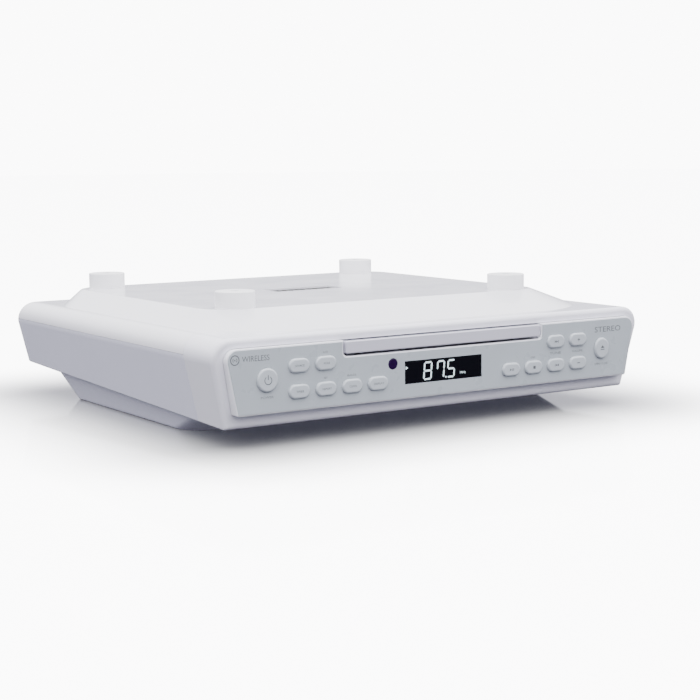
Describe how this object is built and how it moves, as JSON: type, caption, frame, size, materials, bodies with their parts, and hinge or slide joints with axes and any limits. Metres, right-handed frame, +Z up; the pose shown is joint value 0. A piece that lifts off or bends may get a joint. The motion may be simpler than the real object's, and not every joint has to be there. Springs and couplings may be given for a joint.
{
  "type": "under-cabinet disc radio",
  "caption": "Flat under-cabinet kitchen radio with a slide-out disc drawer, a tuner display, push keys, downward speakers and screw-up mounting spacers.",
  "frame": {"origin": "middle of the footprint, on the surface the tub's floor stands on", "axes": "+X to the right seen from the front, -Y towards the front panel, +Z up towards the cabinet"},
  "size_m": [0.325, 0.311, 0.086],
  "materials": {
    "casing": "glossy",
    "drawer": "glossy",
    "spacer": "satin",
    "overlay": "satin",
    "key": "satin",
    "black": "matt",
    "tray": "satin",
    "display": "glossy",
    "board": "satin",
    "parts": "satin",
    "gear": "satin",
    "steel": "brushed",
    "brass": "machined",
    "aluminium": "satin",
    "optics": "satin",
    "rubber": "matt",
    "magnet": "plated",
    "cone": "matt"
  },
  "bodies": {
    "chassis": {"top_cover": "casing", "lower_case": "casing", "bottom_tub": "casing", "front_frame": "casing", "control_panel": "casing", "mounting_spacers": "spacer", "panel_overlay": "overlay", "vent_grille": "black", "clamp_bridge": "black", "aux_jack": "black", "mains_gland": "black", "antenna_gland": "black", "loader_frame": "black", "display_lens": "display", "ir_window": "display", "front_board": "board", "main_board": "board", "board_components": "parts", "tact_switches": "parts", "display_module": "parts", "wireless_module": "parts", "case_screws": "steel", "loading_motor": "steel", "threaded_inserts": "brass", "heat_sink": "aluminium", "loading_belt": "rubber", "left_speaker_frame": "magnet", "right_speaker_frame": "magnet", "transformer": "magnet"},
    "tray": {"drawer_front": "drawer", "disc_tray": "tray"},
    "tray gear": {"tray_gear": "gear"},
    "pulley gear": {"pulley_gear": "gear"},
    "motor pulley": {"motor_pulley": "black"},
    "cam": {"cam_slider": "gear"},
    "traverse": {"traverse_frame": "gear", "spindle_motor": "steel", "guide_rods": "steel", "sled_motor": "steel"},
    "turntable": {"turntable": "aluminium"},
    "pickup": {"pickup": "optics"},
    "sled gear": {"sled_gear": "gear"},
    "clamp puck": {"clamp_puck": "black"},
    "left cone": {"left_speaker_cone": "cone"},
    "right cone": {"right_speaker_cone": "cone"},
    "power key": {"power_key": "key"},
    "source key": {"source_key": "key"},
    "mode key": {"mode_key": "key"},
    "timer key": {"timer_key": "key"},
    "memory key": {"memory_key": "key"},
    "clock key": {"clock_key": "key"},
    "display key": {"display_key": "key"},
    "play key": {"play_key": "key"},
    "stop key": {"stop_key": "key"},
    "skip back key": {"skip_back_key": "key"},
    "volume down key": {"volume_down_key": "key"},
    "skip forward key": {"skip_forward_key": "key"},
    "volume up key": {"volume_up_key": "key"},
    "eject key": {"eject_key": "key"}
  },
  "joints": [
    {"name": "tray_slide", "type": "slide", "parent": "chassis", "child": "tray", "axis": [0, -1, 0], "range_m": [0, 0.13]},
    {"name": "tray_gear_spin", "type": "hinge", "parent": "chassis", "child": "tray gear", "pos_m": [-0.046, -0.127, 0.048], "axis": [0, 0, 1], "continuous": true},
    {"name": "pulley_gear_spin", "type": "hinge", "parent": "chassis", "child": "pulley gear", "pos_m": [-0.0268, -0.127, 0.048], "axis": [0, 0, 1], "continuous": true},
    {"name": "motor_pulley_spin", "type": "hinge", "parent": "chassis", "child": "motor pulley", "pos_m": [0.012, -0.127, 0.05], "axis": [0, 0, 1], "continuous": true},
    {"name": "cam_slide", "type": "slide", "parent": "chassis", "child": "cam", "axis": [1, 0, 0], "range_m": [0, 0.012]},
    {"name": "traverse_tilt", "type": "hinge", "parent": "chassis", "child": "traverse", "pos_m": [0, 0.008, 0.0415], "axis": [1, 0, 0], "range_deg": [0, 5.05]},
    {"name": "turntable_spin", "type": "hinge", "parent": "traverse", "child": "turntable", "pos_m": [0, -0.078, 0.052], "axis": [0, 0, 1], "continuous": true},
    {"name": "clamp_puck_spin", "type": "hinge", "parent": "chassis", "child": "clamp puck", "pos_m": [0, -0.078, 0.06], "axis": [0, 0, 1], "continuous": true},
    {"name": "pickup_slide", "type": "slide", "parent": "traverse", "child": "pickup", "axis": [0, 1, 0], "range_m": [0, 0.034]},
    {"name": "sled_gear_spin", "type": "hinge", "parent": "traverse", "child": "sled gear", "pos_m": [0.0338, -0.036, 0.048], "axis": [0, 0, 1], "continuous": true},
    {"name": "left_cone_slide", "type": "slide", "parent": "chassis", "child": "left cone", "axis": [0, 0, 1], "range_m": [-0.0015, 0.0015], "stiffness_N_per_m": 1500},
    {"name": "right_cone_slide", "type": "slide", "parent": "chassis", "child": "right cone", "axis": [0, 0, 1], "range_m": [-0.0015, 0.0015], "stiffness_N_per_m": 1500},
    {"name": "power_key_press", "type": "slide", "parent": "chassis", "child": "power key", "axis": [0, 1, 0], "range_m": [0, 0.0008], "stiffness_N_per_m": 1500},
    {"name": "source_key_press", "type": "slide", "parent": "chassis", "child": "source key", "axis": [0, 1, 0], "range_m": [0, 0.0008], "stiffness_N_per_m": 1500},
    {"name": "mode_key_press", "type": "slide", "parent": "chassis", "child": "mode key", "axis": [0, 1, 0], "range_m": [0, 0.0008], "stiffness_N_per_m": 1500},
    {"name": "timer_key_press", "type": "slide", "parent": "chassis", "child": "timer key", "axis": [0, 1, 0], "range_m": [0, 0.0008], "stiffness_N_per_m": 1500},
    {"name": "memory_key_press", "type": "slide", "parent": "chassis", "child": "memory key", "axis": [0, 1, 0], "range_m": [0, 0.0008], "stiffness_N_per_m": 1500},
    {"name": "clock_key_press", "type": "slide", "parent": "chassis", "child": "clock key", "axis": [0, 1, 0], "range_m": [0, 0.0008], "stiffness_N_per_m": 1500},
    {"name": "display_key_press", "type": "slide", "parent": "chassis", "child": "display key", "axis": [0, 1, 0], "range_m": [0, 0.0008], "stiffness_N_per_m": 1500},
    {"name": "play_key_press", "type": "slide", "parent": "chassis", "child": "play key", "axis": [0, 1, 0], "range_m": [0, 0.0008], "stiffness_N_per_m": 1500},
    {"name": "stop_key_press", "type": "slide", "parent": "chassis", "child": "stop key", "axis": [0, 1, 0], "range_m": [0, 0.0008], "stiffness_N_per_m": 1500},
    {"name": "skip_back_key_press", "type": "slide", "parent": "chassis", "child": "skip back key", "axis": [0, 1, 0], "range_m": [0, 0.0008], "stiffness_N_per_m": 1500},
    {"name": "volume_down_key_press", "type": "slide", "parent": "chassis", "child": "volume down key", "axis": [0, 1, 0], "range_m": [0, 0.0008], "stiffness_N_per_m": 1500},
    {"name": "skip_forward_key_press", "type": "slide", "parent": "chassis", "child": "skip forward key", "axis": [0, 1, 0], "range_m": [0, 0.0008], "stiffness_N_per_m": 1500},
    {"name": "volume_up_key_press", "type": "slide", "parent": "chassis", "child": "volume up key", "axis": [0, 1, 0], "range_m": [0, 0.0008], "stiffness_N_per_m": 1500},
    {"name": "eject_key_press", "type": "slide", "parent": "chassis", "child": "eject key", "axis": [0, 1, 0], "range_m": [0, 0.0008], "stiffness_N_per_m": 1500}
  ],
  "couplings": [
    {"joint": "tray_gear_spin", "follows": "tray_slide", "rad_per_m": 138.89},
    {"joint": "pulley_gear_spin", "follows": "tray_slide", "rad_per_m": -337.3},
    {"joint": "motor_pulley_spin", "follows": "tray_slide", "rad_per_m": -1068.1},
    {"joint": "traverse_tilt", "follows": "cam_slide", "rad_per_m": 7.301},
    {"joint": "clamp_puck_spin", "follows": "turntable_spin", "ratio": 1},
    {"joint": "sled_gear_spin", "follows": "pickup_slide", "rad_per_m": -208.33}
  ]
}
